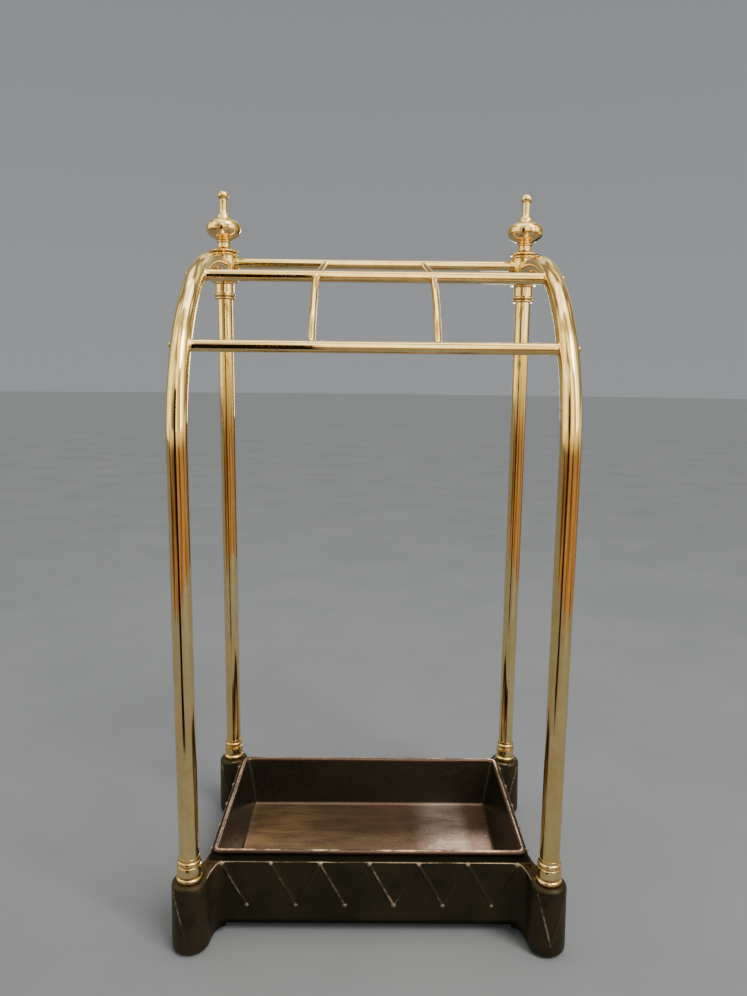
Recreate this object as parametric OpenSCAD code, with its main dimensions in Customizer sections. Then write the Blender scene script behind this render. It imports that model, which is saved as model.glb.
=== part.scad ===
// Brass and cast-iron stick and umbrella stand with a lift-out drip tray.
// Front is -Y, up is +Z, the origin is on the floor under the middle of the stand.

/* [Posts and tubes] */
// Distance between the left and right post centres
post_span = 402; // [390:1:430]
// Distance between the front tube centres and the rear post centres
post_depth = 277; // [270:1:300]
// Outside diameter of the two arched front tubes
arch_tube_d = 22; // [20:0.5:24]
// Outside diameter of the two straight rear posts
rear_post_d = 20; // [18:0.5:22]
// Wall thickness of the brass tube
tube_wall = 1.6; // [1.2:0.1:2.5]
// Radius of the bend at the top of each front tube, on its centre line
bend_r = 220; // [200:1:230]
// Height of the top of the arches, on the centre line
arch_z = 781; // [770:0.5:790]
// Height of the rear rail
rail_z = 789.5; // [780:0.5:794]

/* [Rails] */
// Diameter of the three cross rails
rail_d = 12.7; // [11:0.1:14]
// Diameter of the two divider rods
divider_d = 8; // [6:0.5:9]
// Distance between the two divider rods
divider_gap = 132; // [110:1:150]
// Angle round the bend at which the front rail sits
front_rail_angle = 29.6; // [24:0.2:34]
// Angle round the bend at which the middle rail sits
middle_rail_angle = 60; // [52:0.5:66]

/* [Cast base] */
// Width of the frame over its side aprons
frame_w = 371; // [371:1:375]
// Depth of the frame over its front and rear aprons
frame_d = 242; // [238:1:246]
// Height of the frame's top edge
frame_top = 92; // [90:1:96]
// Gap between the floor and the lower edge of the aprons
apron_gap = 10; // [8:1:16]
// Thickness of the aprons
apron_t = 6; // [5:0.5:7]
// Height of each foot
foot_h = 84; // [80:1:88]
// Radius of a foot near the floor
foot_r = 21; // [19:0.5:21.5]
// Taper of a foot, from near the floor to its top, on radius
foot_taper = 1.2; // [0:0.1:2]
// How far the cast zigzag stands proud
rib_h = 1.6; // [0.8:0.2:2.4]

/* [Drip tray] */
// Height of the tray floor's upper face
tray_floor_z = 36; // [30:1:44]
// Thickness of the tray's sheet
tray_t = 1.2; // [1:0.1:2]
// How far each wall leans in from rim to floor
tray_lean = 13.3; // [8:0.1:14]
// Radius of the rolled rim
rim_r = 3; // [2.8:0.1:3.4]

/* [Fixings] */
// Diameter of the tie rods and foot bolts
rod_d = 8; // [6:0.5:8]
// Width across the flats of the foot nuts
nut_af = 13; // [11:0.5:14]
// Diameter of the rail screws' shanks
screw_d = 3.5; // [3:0.1:4]

/* [Hidden] */

$fn = 64;
fit = 0.05;              // radial clearance of a bore over what it holds
seat = 0.4;              // gap under the tray's rim
over = 1;                // how far a cutter runs past the face it cuts

post_x = post_span / 2;
post_y = post_depth / 2;
arch_r = arch_tube_d / 2;
post_r = rear_post_d / 2;
rail_r = rail_d / 2;
divider_r = divider_d / 2;
divider_x = divider_gap / 2;
rod_r = rod_d / 2;
screw_r = screw_d / 2;
spigot_r = 2.5;          // the turned-down ends of the divider rods
bend_z = arch_z - bend_r;
bend_y = bend_r - post_y;

// frame
frame_x = frame_w / 2;
frame_y = frame_d / 2;
ledge_t = 6;             // thickness of the ledge that carries the tray
ledge_x = 7.2;           // width of the ledge along each side
ledge_y = 14.2;          // width of the ledge at the front and rear
fillet_r = 16;           // hollow curve where an apron runs into a foot
floor_gap = 1;           // the soles alone touch the floor
lip_h = 9;               // the apron's lower lip, which leans inwards
lip_in = 5;
sole_r = 15;
recess_r = 11;           // pocket under a foot for its nut and washer
recess_h = 14;
vee_low = 38;            // the zigzag's bottoms and tops
vee_high = 90;
vee_w = 2.6;
vee_front = 6;
vee_side = 4;
vee_front_pitch = 56.4;
vee_side_pitch = 47;
foot_vee_low = 18;
foot_vee_high = 76;
foot_vee_x = 15;

// tray
rim_x = frame_x - 7;
rim_y = frame_y - 14;
rim_z = frame_top + seat + rim_r;
rim_corner = 7;
pan_inset = 1.5;         // the pan's wall, in from the middle of the rim
pan_corner = 5.5;

// turned and cast fittings
collar_h = 28;
ferrule_z = 742;
connector_z = 764;
connector_h = 39;
connector_r = 16.3;
socket_l = 20;           // reach of the connector's arch socket from the post's axis
rail_boss_l = 19.5;
socket_floor = 10.5;     // closed end of both sockets, from the post's axis
finial_z = connector_z + connector_h;
rod_top = finial_z + 19;
plug_h = 30;
washer_t = 1.6;
nut_h = 6.5;
rod_low = 3;
head_r = 3.4;
screw_in = 16;           // how far a rail screw runs into its rail

function arc(c, r, a0, a1, n = 8) =
    [for (i = [0:n]) let (a = a0 + (a1 - a0) * i / n) [c[0] + r * cos(a), c[1] + r * sin(a)]];
// place on the arch's centre line, a degrees round the bend
function on_bend(a) = [0, bend_y - bend_r * cos(a), bend_z + bend_r * sin(a)];

rear_run = post_y - on_bend(middle_rail_angle)[1];
rear_rise = rail_z - on_bend(middle_rail_angle)[2];
rear_l = sqrt(pow(rear_run, 2) + pow(rear_rise, 2));   // middle rail's axis to the rear rail's
rear_tilt = atan(rear_rise / rear_run);

// ---- shared shapes

module corners() {
    for (mx = [0, 1], my = [0, 1]) mirror([mx, 0, 0]) mirror([0, my, 0]) children();
}

module sides() {
    for (mx = [0, 1]) mirror([mx, 0, 0]) children();
}

module bar_x(r, x0, x1) {
    translate([x0, 0, 0]) rotate([0, 90, 0]) cylinder(h = x1 - x0, r = r);
}

module ring(r_out, r_in, h) {
    difference() {
        cylinder(h = h, r = r_out);
        translate([0, 0, -over]) cylinder(h = h + 2 * over, r = r_in);
    }
}

// round bar along the bend, from angle a0 to a1, in the plane x = 0
module bent_bar(r, a0, a1) {
    translate([0, bend_y, bend_z]) rotate([0, -90, 0]) rotate([0, 0, a0 - 90])
        rotate_extrude(angle = a1 - a0) translate([bend_r, 0]) circle(r);
}

// short straight bar through the bend's centre line at angle a, along the bend
module along_bend(r, a, back, ahead) {
    translate(on_bend(a)) rotate([-a, 0, 0]) translate([0, 0, -back]) cylinder(h = back + ahead, r = r);
}

// straight bar in the plane x = 0 from the middle rail's axis toward the rear rail's, between two distances
module toward_rear(r, from, to) {
    rotate([rear_tilt - 90, 0, 0]) translate([0, 0, from]) cylinder(h = to - from, r = r);
}

module toward_rear_end() {
    rotate([rear_tilt - 90, 0, 0]) translate([0, 0, rear_l]) children();
}

// the whole outside of one arched tube, in the plane x = 0
module arch_shape(r) {
    translate([0, -post_y, foot_h]) cylinder(h = bend_z - foot_h, r = r);
    bent_bar(r, 0, 90);
    translate([0, bend_y, arch_z]) rotate([-90, 0, 0]) cylinder(h = post_y - socket_floor - bend_y, r = r);
}

// rounded rectangular loop of round bar
module loop(x, y, corner, r) {
    for (s = [-1, 1]) {
        translate([0, s * y, 0]) bar_x(r, corner - x, x - corner);
        translate([s * x, corner - y, 0]) rotate([-90, 0, 0]) cylinder(h = 2 * (y - corner), r = r);
    }
    corners() translate([x - corner, y - corner, 0]) rotate_extrude(angle = 90) translate([corner, 0]) circle(r);
}

// ---- cast base

// one wall of the frame, lying along X with its outer face on y = 0 and its inside towards +Y
module apron(half) {
    translate([-half, 0, 0]) rotate([90, 0, 90]) linear_extrude(2 * half) polygon([
        [0, frame_top], [0, apron_gap + lip_h], [lip_in, apron_gap], [lip_in + apron_t - 2, apron_gap],
        [apron_t, apron_gap + lip_h], [apron_t, frame_top]]);
}

// raised zigzag of n vees along X, standing out towards -Y
module zigzag(n, pitch) {
    mid = [for (i = [0:2 * n]) [(i / 2 - n / 2) * pitch, i % 2 == 0 ? vee_high - vee_w : vee_low + vee_w]];
    last = 2 * n;
    rotate([90, 0, 0]) translate([0, 0, -over]) linear_extrude(rib_h + over) polygon(concat(
        [for (i = [0:last]) mid[i] + [0, vee_w]],
        [for (i = [last:-1:0]) mid[i] - [0, vee_w]]));
}

module foot() {
    top_r = foot_r - foot_taper;
    edge = 5;
    rotate_extrude() {
        polygon([[0, 0], [sole_r, 0], [foot_r - edge, 0], [foot_r, edge], [foot_r, 12],
            [top_r, foot_h - edge], [top_r - edge, foot_h], [0, foot_h]]);
        translate([foot_r - edge, edge]) circle(edge);
        translate([top_r - edge, foot_h - edge]) circle(edge);
    }
}

// a vee cast on the front and back of a foot
module foot_vee() {
    intersection() {
        rotate([90, 0, 0]) linear_extrude(2 * foot_r + 2 * rib_h, center = true) polygon([
            [-foot_vee_x - vee_w / 2, foot_vee_high], [-foot_vee_x + vee_w / 2, foot_vee_high],
            [0, foot_vee_low + 3 * vee_w], [foot_vee_x - vee_w / 2, foot_vee_high],
            [foot_vee_x + vee_w / 2, foot_vee_high], [0, foot_vee_low]]);
        translate([0, 0, 12])
            cylinder(h = foot_h - 17, r1 = foot_r + rib_h, r2 = foot_r - foot_taper + rib_h);
    }
}

// webs that run the side and front aprons into a foot in hollow curves
module corner_web() {
    reach = foot_r - foot_taper + fillet_r;
    side_c = [frame_x + fillet_r, post_y - sqrt(pow(reach, 2) - pow(frame_x + fillet_r - post_x, 2))];
    front_c = [post_x - sqrt(pow(reach, 2) - pow(frame_y + fillet_r - post_y, 2)), frame_y + fillet_r];
    translate([0, 0, floor_gap]) linear_extrude(foot_h - 2 - floor_gap) difference() {
        polygon([[frame_x - apron_t, side_c[1]], side_c, [post_x, post_y], front_c,
            [front_c[0], frame_y - apron_t], [frame_x - apron_t, frame_y - apron_t]]);
        translate(side_c) circle(fillet_r);
        translate(front_c) circle(fillet_r);
    }
}

// the long low opening under an apron, running along X
module apron_arch(half, y) {
    translate([0, y, 0]) rotate([90, 0, 0]) linear_extrude(40, center = true) {
        translate([-half, -over]) square([2 * half, apron_gap + over]);
        for (s = [-1, 1]) translate([s * half, floor_gap]) circle(apron_gap - floor_gap);
    }
}

module base_casting() {
    color("#23211c") difference() {
        union() {
            for (a = [0, 180]) rotate(a) {
                translate([0, -frame_y, 0]) apron(frame_x);
                translate([0, -frame_y, 0]) zigzag(vee_front, vee_front_pitch);
            }
            for (a = [90, 270]) rotate(a) {
                translate([0, -frame_x, 0]) apron(frame_y);
                translate([0, -frame_x, 0]) zigzag(vee_side, vee_side_pitch);
            }
            translate([-frame_x, -frame_y, frame_top - ledge_t]) cube([frame_w, frame_d, ledge_t]);
            corners() corner_web();
            corners() translate([post_x, post_y, 0]) {
                foot();
                foot_vee();
            }
        }
        translate([ledge_x - frame_x, ledge_y - frame_y, frame_top - ledge_t - over])
            cube([frame_w - 2 * ledge_x, frame_d - 2 * ledge_y, ledge_t + 2 * over]);
        corners() translate([post_x, post_y, 0]) {
            translate([0, 0, -over]) cylinder(h = recess_h + over, r = recess_r);
            cylinder(h = foot_h + over, r = rod_r + 0.3);
        }
        for (s = [-1, 1]) {
            apron_arch(post_x - 2 * foot_r, s * frame_y);
            rotate(90) apron_arch(post_y - 2 * foot_r, s * frame_x);
        }
    }
}

// ---- drip tray

// solid tapered block with rounded corners, the tray's pan before it is hollowed
module pan_block(inset, low, high) {
    hull() {
        corners() translate([rim_x - pan_inset - inset - pan_corner, rim_y - pan_inset - inset - pan_corner, high - 0.1])
            cylinder(h = 0.1, r = pan_corner, $fn = 32);
        corners() translate([rim_x - pan_inset - inset - tray_lean - pan_corner,
            rim_y - pan_inset - inset - tray_lean - pan_corner, low]) cylinder(h = 0.1, r = pan_corner, $fn = 32);
    }
}

module drip_tray() {
    color("#4a3526") difference() {
        union() {
            pan_block(0, tray_floor_z - tray_t, rim_z);
            translate([0, 0, rim_z]) loop(rim_x, rim_y, rim_corner, rim_r);
        }
        pan_block(tray_t, tray_floor_z, rim_z + rim_r + over);
    }
}

// ---- tubes, rails and rods

// one arched tube, at the right of the stand
module arch_tube() {
    color("#c9a55a") difference() {
        translate([post_x, 0, 0]) arch_shape(arch_r);
        translate([post_x, 0, 0]) {
            translate([0, -post_y, foot_h - over]) cylinder(h = bend_z - foot_h + over, r = arch_r - tube_wall);
            bent_bar(arch_r - tube_wall, 0, 90);
            translate([0, bend_y, arch_z]) rotate([-90, 0, 0])
                cylinder(h = post_y - bend_y, r = arch_r - tube_wall);
        }
        for (a = [front_rail_angle, middle_rail_angle])
            translate(on_bend(a)) bar_x(screw_r + fit, 0, post_x + 2 * arch_r);
    }
}

module rear_post() {
    color("#c9a55a") translate([post_x, post_y, foot_h])
        ring(post_r, post_r - tube_wall, connector_z - foot_h);
}

// cross rail between the arches, hollowed at its ends to sit against them
module arch_rail(a) {
    difference() {
        translate(on_bend(a)) bar_x(rail_r, -post_x, post_x);
        sides() translate([post_x, 0, 0]) bent_bar(arch_r + fit, a - 10, a + 10);
        translate(on_bend(a)) sides() bar_x(screw_r + fit, post_x - arch_r - screw_in, post_x);
        children([0:1:$children - 1]);
    }
}

module front_rail() {
    color("#cda960") arch_rail(front_rail_angle)
        sides() translate([divider_x, 0, 0]) along_bend(spigot_r + 0.2, front_rail_angle, 3.2, rail_r + over);
}

module middle_rail() {
    color("#cda960") arch_rail(middle_rail_angle) {
        sides() translate([divider_x, 0, 0]) along_bend(spigot_r + 0.2, middle_rail_angle, rail_r + over, -1);
        sides() translate([divider_x, 0, 0]) translate(on_bend(middle_rail_angle)) toward_rear(spigot_r + 0.2, 1, rail_r + over);
    }
}

module rear_rail() {
    color("#cda960") difference() {
        translate([0, post_y, rail_z]) bar_x(rail_r, socket_floor - post_x, post_x - socket_floor);
        sides() translate([divider_x, 0, 0]) translate(on_bend(middle_rail_angle))
            toward_rear(spigot_r + 0.2, rear_l - rail_r - over, rear_l - 1);
    }
}

// curved divider rod between the front and middle rails, at the right of the stand
module front_divider() {
    color("#c9a55a") translate([divider_x, 0, 0]) {
        difference() {
            bent_bar(divider_r, front_rail_angle + 1, middle_rail_angle - 1);
            for (a = [front_rail_angle, middle_rail_angle]) translate(on_bend(a)) bar_x(rail_r + fit, -rail_d, rail_d);
        }
        bent_bar(spigot_r, front_rail_angle - 0.7, front_rail_angle + 3);
        bent_bar(spigot_r, middle_rail_angle - 3, middle_rail_angle - 0.5);
    }
}

// straight divider rod between the middle and rear rails, at the right of the stand
module rear_divider() {
    color("#c9a55a") translate([divider_x, 0, 0]) translate(on_bend(middle_rail_angle)) {
        difference() {
            toward_rear(divider_r, 4, rear_l - 4);
            bar_x(rail_r + fit, -rail_d, rail_d);
            toward_rear_end() bar_x(rail_r + fit, -rail_d, rail_d);
        }
        toward_rear(spigot_r, 1.5, rear_l - 1.5);
    }
}

// ---- turned and cast brass fittings

// collar of a flange, a barrel and a bead that hides the foot of a post
module collar(bore_r) {
    color("#c9a050") translate([0, 0, foot_h]) rotate_extrude() translate([bore_r + fit, 0]) difference() {
        union() {
            square([1.2, collar_h]);
            translate([0.9, 2.8]) circle(2.8);
            translate([0, 5.2]) square([2, 12.4]);
            translate([-13.9, 11.4]) circle(17, $fn = 120);
            translate([0, 22.4]) square([1.1, 2.6]);
            translate([-0.9, 22]) circle(3);
        }
        translate([-40, -10]) square([40, 60]);
        translate([-40, collar_h]) square([80, 10]);
        translate([-40, -10]) square([80, 10]);
    }
}

// ringed ferrule under a connector
module ferrule() {
    color("#c9a050") translate([post_x, post_y, ferrule_z]) rotate_extrude() translate([post_r + fit, 0]) difference() {
        union() {
            square([2.6, connector_z - ferrule_z]);
            translate([2.5, 1.5]) circle(1.4);
            translate([3.1, 5.6]) circle(1.5);
        }
        translate([-10, -10]) square([10, 60]);
    }
}

// cast head on the rear post, with a socket for the arch at its front and one for the rear rail at its side
module connector() {
    color("#c59c4c") translate([post_x, post_y, 0]) difference() {
        union() {
            translate([0, 0, connector_z]) rotate_extrude() {
                square([connector_r, connector_h]);
                square([18, 4.4]);
                translate([16.6, 2.2]) circle(2.2);
                translate([0, connector_h - 3]) square([17.2, 3]);
            }
            translate([0, 0, arch_z]) rotate([90, 0, 0]) cylinder(h = socket_l, r = arch_r + 2.2);
            translate([0, 0, rail_z]) bar_x(rail_r + 2.3, -rail_boss_l, 0);
        }
        translate([0, 0, connector_z - over]) cylinder(h = connector_h + 2 * over, r = rod_r + 2 * fit);
        translate([0, -socket_floor, arch_z]) rotate([90, 0, 0]) cylinder(h = socket_l, r = arch_r + fit);
        translate([0, 0, rail_z]) bar_x(rail_r + fit, -rail_boss_l - over, -socket_floor);
    }
}

// turned finial: flange, neck, round bulb, bell-shaped stem and button
module finial() {
    color("#d0ab5e") translate([post_x, post_y, finial_z]) difference() {
        rotate_extrude() polygon(concat(
            [[0, 0], [18.6, 0]], arc([18.2, 1.2], 1, -60, 70, 4), [[17.4, 2.4]],
            arc([17, 10], 8.4, 246, 186, 6), [[8.4, 12.6]], arc([8.6, 14], 1.3, -60, 60, 4),
            [for (a = [-64:8:64]) [23.4 * pow(cos(a), 0.85), 31 + (a < 0 ? 14.6 : 12.6) * sign(a) * pow(abs(sin(a)), 0.9)]],
            arc([16.4, 56], 11.4, 228, 188, 6), [[5, 58.5], [4.9, 64.8]],
            [for (i = [0:12]) let (a = -48 + i * 11.5) [7.5 * cos(a), 72.6 + 6.2 * sin(a)]]));
        translate([0, 0, -over]) cylinder(h = rod_top - finial_z + 1 + over, r = rod_r + fit);
    }
}

// ---- fixings

// threaded plugs brazed into the lower ends of the arched tubes
module front_tube_plugs() {
    color("#b08d4a") sides() translate([post_x, -post_y, foot_h])
        ring(arch_r - tube_wall - fit, rod_r + fit, plug_h);
}

module front_foot_bolts() {
    color("#6d6a66") sides() translate([post_x, -post_y, rod_low])
        cylinder(h = foot_h + plug_h - 6 - rod_low, r = rod_r);
}

module rear_tie_rods() {
    color("#6d6a66") sides() translate([post_x, post_y, rod_low]) cylinder(h = rod_top - rod_low, r = rod_r);
}

module foot_nuts() {
    color("#6d6a66") corners() translate([post_x, post_y, recess_h - washer_t - nut_h]) difference() {
        cylinder(h = nut_h, r = nut_af / 2 / cos(30), $fn = 6);
        translate([0, 0, -over]) cylinder(h = nut_h + 2 * over, r = rod_r + fit);
    }
}

module foot_washers() {
    color("#7a7671") corners() translate([post_x, post_y, recess_h - washer_t])
        ring(rod_r + 4.5, rod_r + 0.2, washer_t);
}

module rail_screws() {
    color("#d8bd7c") sides() for (a = [front_rail_angle, middle_rail_angle]) translate(on_bend(a)) {
        bar_x(screw_r, post_x - arch_r - screw_in + 1, post_x + arch_r + 1);
        translate([post_x + arch_r + fit, 0, 0]) difference() {
            rotate([0, 90, 0]) rotate_extrude() polygon([[0, 0], [head_r, 0], [head_r, 1], [3.1, 1.6], [2.5, 2.1],
                [1.6, 2.4], [0.8, 2.5], [0, 2.5]]);
            translate([1.7, -0.5, -head_r - over]) cube([2, 1, 2 * (head_r + over)]);
        }
    }
}

// ---- the parts

module left() { mirror([1, 0, 0]) children(); }

base_casting();
drip_tray();
left() arch_tube();  // arch_tube_left
arch_tube();  // arch_tube_right
left() rear_post();  // rear_post_left
rear_post();  // rear_post_right
translate([-post_x, -post_y, 0]) collar(arch_r);  // front_collar_left
translate([post_x, -post_y, 0]) collar(arch_r);  // front_collar_right
translate([-post_x, post_y, 0]) collar(post_r);  // rear_collar_left
translate([post_x, post_y, 0]) collar(post_r);  // rear_collar_right
left() ferrule();  // post_ferrule_left
ferrule();  // post_ferrule_right
left() connector();  // connector_left
connector();  // connector_right
left() finial();  // finial_left
finial();  // finial_right
front_rail();
middle_rail();
rear_rail();
left() front_divider();  // front_divider_left
front_divider();  // front_divider_right
left() rear_divider();  // rear_divider_left
rear_divider();  // rear_divider_right
front_tube_plugs();
front_foot_bolts();
rear_tie_rods();
foot_nuts();
foot_washers();
rail_screws();
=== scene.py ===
import math
import bpy
import bmesh
import numpy as np
from mathutils import Matrix, Vector, noise


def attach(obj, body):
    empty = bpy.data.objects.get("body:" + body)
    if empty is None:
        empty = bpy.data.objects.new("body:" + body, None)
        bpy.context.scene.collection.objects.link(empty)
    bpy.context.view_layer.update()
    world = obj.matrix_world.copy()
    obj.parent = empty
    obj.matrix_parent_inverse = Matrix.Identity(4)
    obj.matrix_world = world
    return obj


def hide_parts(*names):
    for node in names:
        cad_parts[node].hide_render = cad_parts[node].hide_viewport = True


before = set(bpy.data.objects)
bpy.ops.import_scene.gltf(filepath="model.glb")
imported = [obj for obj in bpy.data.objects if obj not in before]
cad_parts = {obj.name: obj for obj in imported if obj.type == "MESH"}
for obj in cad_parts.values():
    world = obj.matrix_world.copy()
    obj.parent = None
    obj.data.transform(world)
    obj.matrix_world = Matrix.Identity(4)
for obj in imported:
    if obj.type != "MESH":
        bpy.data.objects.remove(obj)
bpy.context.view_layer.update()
print("frame loaded")

# everything is made in millimetres and shrunk to metres when a piece is finished
toMetres = 0.001
stand = {
    "postX": 201.0, "postY": 138.5,
    "tubeR": 11.0, "postR": 10.0, "railR": 6.35, "dividerR": 4.0, "dividerX": 66.0,
    "bendR": 220.0, "archZ": 781.0, "rearRailZ": 789.5,
    "frontRailAngle": 29.6, "middleRailAngle": 60.0,
    "footTop": 84.0, "ferruleZ": 742.0, "connectorZ": 764.0, "finialZ": 803.0,
}
postX, postY, archZ = stand["postX"], stand["postY"], stand["archZ"]
bendZ = archZ - stand["bendR"]
bendY = stand["bendR"] - postY


def onBend(angle):
    a = math.radians(angle)
    return bendY - stand["bendR"] * math.cos(a), bendZ + stand["bendR"] * math.sin(a)


def startGroup(name, inputs, outputs):
    g = bpy.data.node_groups.new(name, "ShaderNodeTree")
    for label, kind, value in inputs:
        s = g.interface.new_socket(label, in_out="INPUT", socket_type=kind)
        s.default_value = value
    for label, kind in outputs:
        g.interface.new_socket(label, in_out="OUTPUT", socket_type=kind)
    return g, g.nodes.new("NodeGroupInput"), g.nodes.new("NodeGroupOutput")


def addNode(tree, kind, values=None, **settings):
    n = tree.nodes.new(kind)
    for k, v in settings.items():
        setattr(n, k, v)
    for k, v in (values or {}).items():
        if hasattr(v, "is_output"):
            tree.links.new(v, n.inputs[k])
        else:
            n.inputs[k].default_value = v
    return n


def calc(tree, op, a, b=0.0, c=None, clamp=False):
    n = addNode(tree, "ShaderNodeMath", {0: a, 1: b}, operation=op, use_clamp=clamp)
    if c is not None:
        if hasattr(c, "is_output"):
            tree.links.new(c, n.inputs[2])
        else:
            n.inputs[2].default_value = c
    return n.outputs[0]


def remap(tree, value, low, high, toLow=0.0, toHigh=1.0):
    n = addNode(tree, "ShaderNodeMapRange", {"Value": value, "From Min": low, "From Max": high,
                                             "To Min": toLow, "To Max": toHigh}, interpolation_type="SMOOTHSTEP")
    return n.outputs["Result"]


def mixColour(tree, fac, a, b, mode="MIX"):
    n = addNode(tree, "ShaderNodeMix", {0: fac, 6: a, 7: b}, data_type="RGBA", blend_type=mode)
    return n.outputs[2]


def position(tree):
    return tree.nodes.new("ShaderNodeNewGeometry").outputs["Position"]


# patchy variation: three noise sizes laid over each other
patches, gi, go = startGroup(
    "patches",
    [("Position", "NodeSocketVector", (0, 0, 0)), ("Size", "NodeSocketFloat", 30.0),
     ("Stretch", "NodeSocketVector", (1, 1, 1)), ("Sharpness", "NodeSocketFloat", 0.5)],
    [("Mask", "NodeSocketFloat"), ("Fine", "NodeSocketFloat")])
stretched = addNode(patches, "ShaderNodeVectorMath", {0: gi.outputs["Position"], 1: gi.outputs["Stretch"]},
                    operation="MULTIPLY")
broad = addNode(patches, "ShaderNodeTexNoise", {"Vector": stretched.outputs[0], "Scale": gi.outputs["Size"],
                                                "Detail": 5.0, "Roughness": 0.6, "Distortion": 0.35})
fineSize = calc(patches, "MULTIPLY", gi.outputs["Size"], 9.0)
small = addNode(patches, "ShaderNodeTexNoise", {"Vector": stretched.outputs[0], "Scale": fineSize, "Detail": 4.0})
halfSharp = calc(patches, "MULTIPLY", gi.outputs["Sharpness"], 0.24)
low = calc(patches, "ADD", 0.3, halfSharp)
high = calc(patches, "SUBTRACT", 0.7, halfSharp)
patches.links.new(remap(patches, broad.outputs[0], low, high), go.inputs["Mask"])
patches.links.new(small.outputs[0], go.inputs["Fine"])

# rubbed metal, and in places a painted highlight, where the piece's own wear-and-sheen value is high, broken up by
# noise
rubbed, gi, go = startGroup("rubbed", [("Position", "NodeSocketVector", (0, 0, 0)), ("Amount", "NodeSocketFloat", 0.5),
                                       ("Breakup", "NodeSocketFloat", 160.0)],
                            [("Mask", "NodeSocketFloat"), ("Halo", "NodeSocketFloat")])
rub = addNode(rubbed, "ShaderNodeAttribute", attribute_name="rub").outputs["Fac"]
grain = addNode(rubbed, "ShaderNodeTexNoise", {"Vector": gi.outputs["Position"], "Scale": gi.outputs["Breakup"],
                                               "Detail": 6.0, "Roughness": 0.65}).outputs[0]
longGrain = addNode(rubbed, "ShaderNodeTexNoise", {"Vector": gi.outputs["Position"], "Scale": 22.0,
                                                   "Detail": 2.0}).outputs[0]
both = calc(rubbed, "MULTIPLY_ADD", grain, 0.6, calc(rubbed, "MULTIPLY", longGrain, 0.8))
worn = calc(rubbed, "ADD", rub, calc(rubbed, "SUBTRACT", both, 0.7))
edge = calc(rubbed, "SUBTRACT", 1.0, gi.outputs["Amount"])
rubbed.links.new(remap(rubbed, worn, edge, calc(rubbed, "ADD", edge, 0.22)), go.inputs["Mask"])
haloLow, haloHigh = calc(rubbed, "SUBTRACT", edge, 0.4), calc(rubbed, "ADD", edge, 0.1)
rubbed.links.new(remap(rubbed, worn, haloLow, haloHigh), go.inputs["Halo"])

# hairline scratches in three directions
scratches, gi, go = startGroup(
    "scratches",
    [("Position", "NodeSocketVector", (0, 0, 0)), ("Scale", "NodeSocketFloat", 60.0),
     ("Density", "NodeSocketFloat", 0.5)],
    [("Mask", "NodeSocketFloat")])
total = 0.0
for turn, stretch in (((0.2, 0.1, 0.5), (1, 14, 1)), ((0.9, 0.3, 2.0), (1, 11, 2)), ((0.1, 1.2, 1.1), (12, 1, 1))):
    turned = addNode(scratches, "ShaderNodeMapping", {"Vector": gi.outputs["Position"], "Rotation": turn,
                                                      "Scale": stretch})
    lines = addNode(scratches, "ShaderNodeTexNoise", {"Vector": turned.outputs[0], "Scale": gi.outputs["Scale"],
                                                      "Detail": 3.0, "Roughness": 0.7}).outputs[0]
    cut = calc(scratches, "SUBTRACT", 0.78, calc(scratches, "MULTIPLY", gi.outputs["Density"], 0.2))
    total = calc(scratches, "ADD", remap(scratches, lines, cut, calc(scratches, "ADD", cut, 0.04)), total, clamp=True)
scratches.links.new(total, go.inputs["Mask"])


def useGroup(tree, group, **values):
    n = tree.nodes.new("ShaderNodeGroup")
    n.node_tree = group
    for k, v in values.items():
        if hasattr(v, "is_output"):
            tree.links.new(v, n.inputs[k])
        else:
            n.inputs[k].default_value = v
    return n


def newMaterial(name):
    m = bpy.data.materials.new(name)
    m.use_nodes = True
    tree = m.node_tree
    for n in list(tree.nodes):
        tree.nodes.remove(n)
    out = tree.nodes.new("ShaderNodeOutputMaterial")
    shader = tree.nodes.new("ShaderNodeBsdfPrincipled")
    tree.links.new(shader.outputs[0], out.inputs[0])
    return m, tree, shader


def bumps(tree, shader, layers):
    normal = None
    for height, strength, distance in layers:
        b = addNode(tree, "ShaderNodeBump", {"Height": height, "Strength": strength, "Distance": distance})
        if normal is not None:
            tree.links.new(normal, b.inputs["Normal"])
        normal = b.outputs[0]
    tree.links.new(normal, shader.inputs["Normal"])


def brass(name, look):
    m, tree, shader = newMaterial(name)
    pos = position(tree)
    cloud = useGroup(tree, patches, Position=pos, Size=look["patch"], Stretch=look["stretch"], Sharpness=0.2)
    spots = useGroup(tree, patches, Position=pos, Size=95.0, Sharpness=1.25)
    hair = useGroup(tree, scratches, Position=pos, Scale=look["scratch"], Density=0.35)
    groove = addNode(tree, "ShaderNodeAttribute", attribute_name="groove").outputs["Fac"]
    colour = mixColour(tree, cloud.outputs["Mask"], look["pale"], look["deep"])
    colour = mixColour(tree, calc(tree, "MULTIPLY", spots.outputs["Mask"], 0.16), colour, look["tarnish"])
    # grooves and screw slots darker and duller: tarnish, with painted shade laid on
    colour = mixColour(tree, calc(tree, "MULTIPLY", groove, 0.85, clamp=True), colour, look["groove"])
    tree.links.new(colour, shader.inputs["Base Color"])
    rough = calc(tree, "MULTIPLY_ADD", cloud.outputs["Mask"], 0.04, look["rough"])
    rough = calc(tree, "MULTIPLY_ADD", spots.outputs["Mask"], 0.05, rough)
    rough = calc(tree, "MULTIPLY_ADD", hair.outputs["Mask"], 0.05, rough)
    rough = calc(tree, "MULTIPLY_ADD", groove, 0.22, rough, clamp=True)
    tree.links.new(rough, shader.inputs["Roughness"])
    shader.inputs["Metallic"].default_value = 1.0
    ripple = addNode(tree, "ShaderNodeTexNoise", {"Vector": pos, "Scale": look["ripple"], "Detail": 2.0}).outputs[0]
    bumps(tree, shader, [(ripple, 0.12, 0.0008), (cloud.outputs["Fine"], 0.03, 0.0001),
                         (hair.outputs["Mask"], 0.03, 0.0001)])
    return m


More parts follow.
